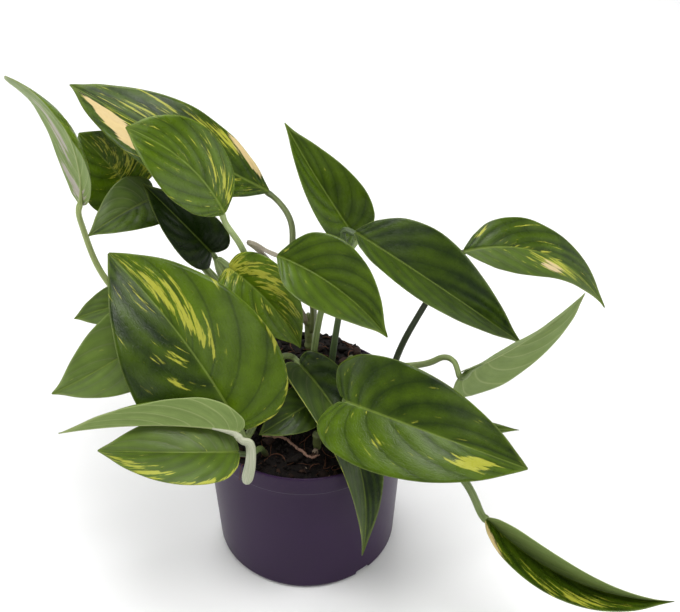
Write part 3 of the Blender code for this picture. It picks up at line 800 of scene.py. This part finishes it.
STALK_COLOURS = {
    "top_left": ((0.38, 0.44, 0.16), (0.22, 0.29, 0.08)),
    "top_long": ((0.16, 0.20, 0.06), (0.07, 0.10, 0.03)),
    "top_glossy": ((0.36, 0.44, 0.18), (0.20, 0.28, 0.09)),
    "right_long": ((0.08, 0.13, 0.03), (0.03, 0.05, 0.015)),
    "right_back": ((0.05, 0.07, 0.025), (0.02, 0.025, 0.012)),
    "centre": ((0.30, 0.26, 0.20), (0.16, 0.15, 0.09)),
    "boat_front": ((0.50, 0.50, 0.38), (0.34, 0.38, 0.24)),
    "under_boat": ((0.10, 0.14, 0.04), (0.04, 0.06, 0.02)),
}
STALK_GREEN = ((0.22, 0.29, 0.09), (0.11, 0.16, 0.04))
HANGING = ("boat_front",)  # its stalk ends free, in a rounded bulb


def build_stalk(leaf, number):
    """The stalk swells at both ends and thins out along the blade's keel."""
    knots = stalk_knots(leaf)
    shares = np.linspace(0, 1, STALK_STEPS)
    line = smooth(knots, shares)
    for _ in range(ROUNDING):
        line[1:-1] = 0.5 * line[1:-1] + 0.25 * (line[:-2] + line[2:])
    radii = mix(leaf.stalk[0], leaf.stalk[1], shares)
    radii = radii * (1 + 0.16 * bell(shares - 0.96, 0.05))
    if leaf.name in HANGING:
        radii = radii * (1 + 0.12 * bell(shares - 0.15, 0.12))
        radii = radii * np.sqrt(np.maximum(1 - np.maximum(1 - shares / 0.09, 0.0) ** 2, 0.02))
    else:
        radii = radii * (1 + 0.30 * bell(shares, 0.05))
    keel_along = np.array([0.02, 0.045, 0.075, 0.11, 0.15])
    point, _, _, normal = frame_at(leaf, keel_along)
    keel_radii = leaf.stalk[1] * np.array([0.85, 0.68, 0.52, 0.38, 0.25])
    line = np.vstack([line[:-1], point - normal * (keel_radii + 0.1)[:, None]])
    radii = np.concatenate([radii[:-1], keel_radii])
    shape = Shape()
    planted = not isinstance(leaf.root[0], str)
    brown = ([0.0, 0.06, 0.16, 1.0], [1.0, 0.6, 0.0, 0.0]) if planted else ([0.0, 1.0], [0.25, 0.0])
    if leaf.name in HANGING:
        brown = ([0.0, 1.0], [0.0, 0.0])
    tube(shape, line, radii, STALK_SIDES, brown, groove=0.22, up=normal[0])
    light, dark = STALK_COLOURS.get(leaf.name, STALK_GREEN)
    look = stalk_look(f"stalk_{leaf.name}", light, dark, number * 2.3)
    piece = shape.piece(f"petiole_{leaf.name}", look, ("place",))
    settle(piece, "leaf_stalk", f"stalk_{leaf.name}")


def build_vine(name, look):
    """A short vine with swollen rings where its stalks leave it."""
    shares = np.linspace(0, 1, STEM_STEPS)
    line = np.array([stem_axis(name, s) for s in shares])
    length = np.linalg.norm(line[-1] - line[0])
    along = shares * length
    radii = STEM_RADIUS * mix(1.0, 0.82, shares)
    for node in np.arange(NODE_START, length, NODE_SPACING):
        radii = radii + 0.55 * bell(along - node, 1.6) - 0.18 * bell(along - node - 2.6, 0.8)
    radii = radii * mix(1.0, 0.35, ease(length - 3.0, length, along) ** 2)
    shape = Shape()
    brown = ([0.0, 0.35, 0.6, 1.0], [1.0, 0.8, 0.1, 0.0])
    tube(shape, line, radii, STEM_SIDES, brown, groove=0.1, up=(1, 0, 0))
    piece = shape.piece(f"vine_{name}", look, ("place",))
    settle(piece, "vine_stem", f"vine_stem_{name}")


# ---- soil and root ----

def soil_top(x, y):
    """Height of the soil above the ground at a place."""
    share = min(math.hypot(x, y) / (RIM_RADIUS - WALL), 1.0)
    return SOIL_EDGE + (SOIL_MOUND + SOIL_LEAN * y) * (1 - share ** 3)


def clods(x, y):
    """Lumps and pits of the soil's surface."""
    big = noise.noise(Vector((x / 11.0, y / 11.0, 3.1)))
    small = noise.noise(Vector((x / 3.6, y / 3.6, 8.2)))
    tiny = noise.noise(Vector((x / 1.5, y / 1.5, 5.5)))
    return 1.7 * big + 1.1 * small + 0.5 * tiny


def soil_bed(shape):
    """The lumpy top, then the side down to the pot's floor."""
    edge = RIM_RADIUS - WALL - GAP - 0.6
    points = []
    for ring in range(SOIL_RINGS + 1):
        radius = max(edge * ring / SOIL_RINGS, 0.05)
        calm = 1 - 0.6 * (ring / SOIL_RINGS) ** 4
        for sector in range(SOIL_SECTORS):
            turn = sector / SOIL_SECTORS * 2 * math.pi
            x, y = radius * math.cos(turn), radius * math.sin(turn)
            points.append((x, y, soil_top(x, y) + clods(x, y) * calm - 0.6))
    for radius, height in SOIL_SIDE:
        for sector in range(SOIL_SECTORS):
            turn = sector / SOIL_SECTORS * 2 * math.pi
            points.append((radius * math.cos(turn), radius * math.sin(turn), height))
    rows = SOIL_RINGS + 1 + len(SOIL_SIDE)
    shape.add(points, grid_faces(rows, SOIL_SECTORS, closed=True, flip=True), (0.3, 0.0, 0.0))


def scatter_crumbs(shape, draw):
    """Noisy lumps all over the soil. Every fifth one lies up against the pot's wall."""
    crumb = bmesh.new()
    bmesh.ops.create_icosphere(crumb, subdivisions=2, radius=1.0)
    ball = np.array([v.co for v in crumb.verts])
    skin = [tuple(v.index for v in f.verts) for f in crumb.faces]
    crumb.free()
    smallest, largest = CRUMB_RANGE
    for number in range(CRUMBS):
        radius = SOIL_REACH * math.sqrt(draw.random())
        turn = draw.uniform(0, 2 * math.pi)
        if number % 5 == 0:
            radius = draw.uniform(WALL_CRUMBS, SOIL_REACH)
        x, y = radius * math.cos(turn), radius * math.sin(turn)
        size = min(smallest + draw.expovariate(1.6), largest)
        stretch = np.array([draw.uniform(0.8, 1.5), draw.uniform(0.7, 1.1), draw.uniform(0.45, 0.9)])
        shift = Vector((draw.uniform(0, 90), draw.uniform(0, 90), 0.0))
        lump = [1 + 0.85 * noise.noise(Vector(p) * 1.4 + shift) for p in ball]
        points = ball * np.array(lump)[:, None] * stretch * size
        spin, lean = draw.uniform(0, 2 * math.pi), draw.uniform(-0.6, 0.6)
        c, s = math.cos(spin), math.sin(spin)
        points = points @ np.array([[c, s, 0], [-s, c, 0], [0, 0, 1]])
        c, s = math.cos(lean), math.sin(lean)
        points = points @ np.array([[c, 0, s], [0, 1, 0], [-s, 0, c]])
        points += (x, y, soil_top(x, y) + clods(x, y) * 0.7 + size * 0.15)
        shape.add(points, skin, (draw.random(), 0.0, 0.0))


def lay_fibres(shape, draw):
    """Thin curved fibres that follow the soil's surface and stay inside the pot."""
    for _ in range(FIBRES):
        radius, turn = FIBRE_REACH * math.sqrt(draw.random()), draw.uniform(0, 2 * math.pi)
        x, y = radius * math.cos(turn), radius * math.sin(turn)
        heading, length = draw.uniform(0, 2 * math.pi), draw.uniform(*FIBRE_LENGTHS)
        bend, hump = draw.uniform(-2.2, 2.2), draw.uniform(0.2, 1.8)
        line = []
        for step in range(FIBRE_STEPS + 1):
            t = step / FIBRE_STEPS
            x += length / FIBRE_STEPS * math.cos(heading + bend * t)
            y += length / FIBRE_STEPS * math.sin(heading + bend * t)
            reach = math.hypot(x, y)
            if reach > SOIL_REACH:
                x, y = x * SOIL_REACH / reach, y * SOIL_REACH / reach
            height = soil_top(x, y) + clods(x, y) * 0.7 + 0.5
            line.append((x, y, height + hump * math.sin(math.pi * t)))
        strand(shape, line, draw.uniform(0.12, 0.32))


def hang_hairs(shape):
    """Hair roots that rise over the pot's lip and then hang down outside it."""
    for x, y, heading in HAIRS:
        turn = math.radians(heading)
        line = []
        for step in range(HAIR_STEPS + 1):
            t = step / HAIR_STEPS
            far = HAIR_LENGTH * t * 0.6
            rise = 3.4 * math.sin(math.pi * min(t * 1.25, 1.0))
            height = POT_HEIGHT - 0.5 + rise - 7.0 * max(t - 0.55, 0.0)
            line.append((x + far * math.cos(turn), y + far * math.sin(turn), height))
        strand(shape, line, 0.22)


def build_soil():
    shape = Shape()
    draw = random.Random(11)
    soil_bed(shape)
    scatter_crumbs(shape, draw)
    lay_fibres(shape, draw)
    hang_hairs(shape)
    piece = shape.piece("potting_mix", soil_look(), ("grain",))
    settle(piece, "potting_soil", "soil")


def strand(shape, line, thick):
    """A thin fibre of even thickness that tapers at both ends."""
    part = Shape()
    shares = np.linspace(0, 1, len(line))
    radii = thick * (0.35 + 0.65 * np.sin(np.pi * np.clip(shares, 0.08, 0.92)))
    tube(part, line, radii, FIBRE_SIDES, ([0.0, 1.0], [0.0, 0.0]))
    shape.add(np.vstack(part.points), part.faces, (0.5, 1.0, 0.0))


def build_root():
    knots = []
    for x, y in ROOT_ROUTE:
        knots.append((x, y, soil_top(x, y) + ROOT_LIFT))
    shares = np.linspace(0, 1, ROOT_STEPS)
    line = smooth(knots, shares)
    wander = ripple(1.3, (shares, 3.0), (shares, 7.0))
    line = line + np.stack([0 * shares, 0.5 * wander, 0.35 * ripple(4.0, (shares, 5.0), (shares, 2.0))], -1)
    bumps = 1 + 0.22 * ripple(2.0, (shares, 13.0), (shares, 21.0))
    ends = 0.4 + 0.6 * ease(0, 0.08, shares) * ease(1, 0.85, shares)
    radii = ROOT_RADIUS * bumps * ends
    shape = Shape()
    tube(shape, line, radii, ROOT_SIDES, ([0.0, 1.0], [0.0, 0.0]))
    piece = shape.piece("root_strand", root_look(), ("place",))
    settle(piece, "root", "surface_root")


# ---- pot ----

def rounded(centre, radius, start, stop, steps):
    """Points of an arc in the profile, by angle."""
    turns = np.radians(np.linspace(start, stop, steps))
    return [(centre[0] + radius * math.cos(t), centre[1] + radius * math.sin(t)) for t in turns]


def pot_profile():
    """The pot's wall from the middle of the inner floor, up, over the lip and down to the foot."""
    taper = (RIM_RADIUS - FOOT_RADIUS) / POT_HEIGHT
    collar_foot = POT_HEIGHT - COLLAR_HEIGHT
    waist = RIM_RADIUS - taper * COLLAR_HEIGHT
    low = FOOT_RADIUS + taper * FOOT_ROUND - COLLAR_STEP
    lip = WALL / 2
    line = [(0.05, WALL * 1.3), (low * 0.5, WALL * 1.3), (low - FOOT_ROUND - WALL * 0.5, WALL * 1.3)]
    line += rounded((low - WALL - 2.5, WALL * 1.3 + 2.5), 2.5, -80, 0, 6)
    for share in np.linspace(0.1, 1.0, 8):
        across = mix(low - WALL, waist - COLLAR_STEP - WALL, share)
        line.append((across, mix(FOOT_ROUND + WALL, collar_foot, share)))
    line += [(waist - WALL, collar_foot + 1.2), (RIM_RADIUS - WALL - 0.1, POT_HEIGHT - WALL)]
    line += rounded((RIM_RADIUS - lip, POT_HEIGHT - lip), lip, 180, 0, 9)
    for share in np.linspace(0.15, 1.0, 6):
        line.append((mix(RIM_RADIUS, waist, share), mix(POT_HEIGHT - lip, collar_foot + 1.3, share)))
    line += rounded((waist - 0.5, collar_foot + 1.3), 0.5, 0, -70, 5)
    line += [(waist - COLLAR_STEP + 0.12, collar_foot + 0.35), (waist - COLLAR_STEP, collar_foot - 0.3)]
    for share in np.linspace(0.06, 1.0, 14):
        line.append((mix(waist - COLLAR_STEP, low, share), mix(collar_foot, FOOT_ROUND, share)))
    line += rounded((low - FOOT_ROUND, FOOT_ROUND), FOOT_ROUND, -8, -90, 8)
    line += [(low * 0.86, 0.0), (low * 0.84, 0.5), (low * 0.4, 0.5), (0.05, 0.5)]
    return np.array(line)


def build_pot():
    profile = pot_profile()
    shape = Shape()
    angles = np.arange(POT_STEPS) / POT_STEPS * 2 * math.pi
    rows = len(profile)
    radius, height = profile[:, :1], profile[:, 1:]
    points = np.stack([radius * np.cos(angles), radius * np.sin(angles), height + 0 * angles], -1)
    along = np.repeat(np.linspace(0, 1, rows), POT_STEPS)
    facts = np.stack([along, np.tile(np.sin(angles), rows), np.tile(np.cos(angles), rows)], -1)
    faces = grid_faces(rows, POT_STEPS, closed=True)
    faces.append(tuple(range(POT_STEPS - 1, -1, -1)))
    faces.append(tuple((rows - 1) * POT_STEPS + i for i in range(POT_STEPS)))
    shape.add(points.reshape(-1, 3), faces, facts)
    pot = shape.piece("pot_shell", pot_look(), ("place",))
    cutters = []
    for degrees in SLOT_ANGLES:
        cutters.append(slot_cutter(math.radians(degrees)))
        cut = pot.modifiers.new("drain", "BOOLEAN")
        cut.operation, cut.solver, cut.object = "DIFFERENCE", "EXACT", cutters[-1]
    bpy.context.view_layer.update()
    seen = pot.evaluated_get(bpy.context.evaluated_depsgraph_get())
    mesh = bpy.data.meshes.new_from_object(seen)
    pot.modifiers.clear()
    pot.data = mesh
    for cutter in cutters:
        bpy.data.objects.remove(cutter)
    mesh.set_sharp_from_angle(angle=math.radians(40))
    settle(pot, "purple_plastic", "plant_pot")


def slot_cutter(turn):
    """A block with a rounded top edge, across the pot's foot."""
    width, depth, height = SLOT_SIZE
    corner = 2.0
    side = [(-width / 2, -3.0), (-width / 2, height / 2 - corner)]
    side += rounded((corner - width / 2, height / 2 - corner), corner, 170, 95, 5)
    side += rounded((width / 2 - corner, height / 2 - corner), corner, 85, 10, 5)
    side += [(width / 2, height / 2 - corner), (width / 2, -3.0)]
    points = []
    c, s = math.cos(turn), math.sin(turn)
    for far in (FOOT_RADIUS - depth / 2, FOOT_RADIUS + depth / 2):
        for y, z in side:
            points.append((far * c - y * s, far * s + y * c, z))
    count = len(side)
    faces = [tuple(range(count)), tuple(range(2 * count - 1, count - 1, -1))]
    for i in range(count):
        k = (i + 1) % count
        faces.append((i, i + count, k + count, k))
    mesh = bpy.data.meshes.new("cutter")
    mesh.from_pydata((np.array(points) * MM).tolist(), [], faces)
    made = bpy.data.objects.new("cutter", mesh)
    bpy.context.scene.collection.objects.link(made)
    return made


# ---- studio ----

def look_at(item, place, target):
    item.location = place
    item.rotation_mode = "QUATERNION"
    item.rotation_quaternion = (Vector(target) - Vector(place)).to_track_quat("-Z", "Y")


def soft_light(name, place, size, power):
    data = bpy.data.lights.new(name, "AREA")
    data.shape, data.size, data.size_y = "RECTANGLE", size[0], size[1]
    data.energy = power
    lamp = bpy.data.objects.new(name, data)
    bpy.context.scene.collection.objects.link(lamp)
    look_at(lamp, place, LIGHT_TARGET)


def build_studio():
    scene = bpy.context.scene
    world = bpy.data.worlds.new("studio")
    world.use_nodes = True
    paint = world.node_tree.nodes["Background"]
    paint.inputs["Color"].default_value = (1.0, 1.0, 1.0, 1.0)
    # The walls are brighter than the ceiling
    place = world.node_tree.nodes.new("ShaderNodeTexCoord")
    split = world.node_tree.nodes.new("ShaderNodeSeparateXYZ")
    fade = world.node_tree.nodes.new("ShaderNodeMapRange")
    fade.interpolation_type = "SMOOTHSTEP"
    for key, value in zip(
        ("From Min", "From Max", "To Min", "To Max"),
        (0.0, 0.6, WALL_LIGHT, CEILING_LIGHT),
    ):
        fade.inputs[key].default_value = value
    world.node_tree.links.new(place.outputs["Generated"], split.inputs["Vector"])
    world.node_tree.links.new(split.outputs["Z"], fade.inputs["Value"])
    world.node_tree.links.new(fade.outputs["Result"], paint.inputs["Strength"])
    scene.world = world
    scene.view_settings.view_transform = "Standard"

    mesh = bpy.data.meshes.new("floor")
    mesh.from_pydata([(-5, -5, 0), (5, -5, 0), (5, 5, 0), (-5, 5, 0)], [], [(0, 1, 2, 3)])
    g = Graph("pale_floor")
    tint = g.noise(g.place(), 3.0, 2.0)
    mesh.materials.append(g.finish(g.blend((0.86, 0.86, 0.86), (0.88, 0.88, 0.88), tint), 0.9))
    floor = bpy.data.objects.new("floor", mesh)
    scene.collection.objects.link(floor)

    for name, place, size, power in LIGHTS:
        soft_light(name, place, size, power)

    up = math.radians(VIEW_HEIGHT)
    back = Vector((0.0, -math.cos(up), math.sin(up)))
    data = bpy.data.cameras.new("camera")
    data.lens = VIEW_LENS
    data.sensor_width = 36.0
    camera = bpy.data.objects.new("camera", data)
    scene.collection.objects.link(camera)
    look_at(camera, Vector(VIEW_TARGET) + back * VIEW_DISTANCE, VIEW_TARGET)
    scene.camera = camera


def main():
    build_studio()
    build_pot()
    build_soil()
    build_root()
    bark = vine_look()
    for name in STEMS:
        build_vine(name, bark)
    for number, leaf in enumerate(LEAVES, 1):
        build_blade(leaf, number)
        build_stalk(leaf, number)


main()
bpy.context.view_layer.update()
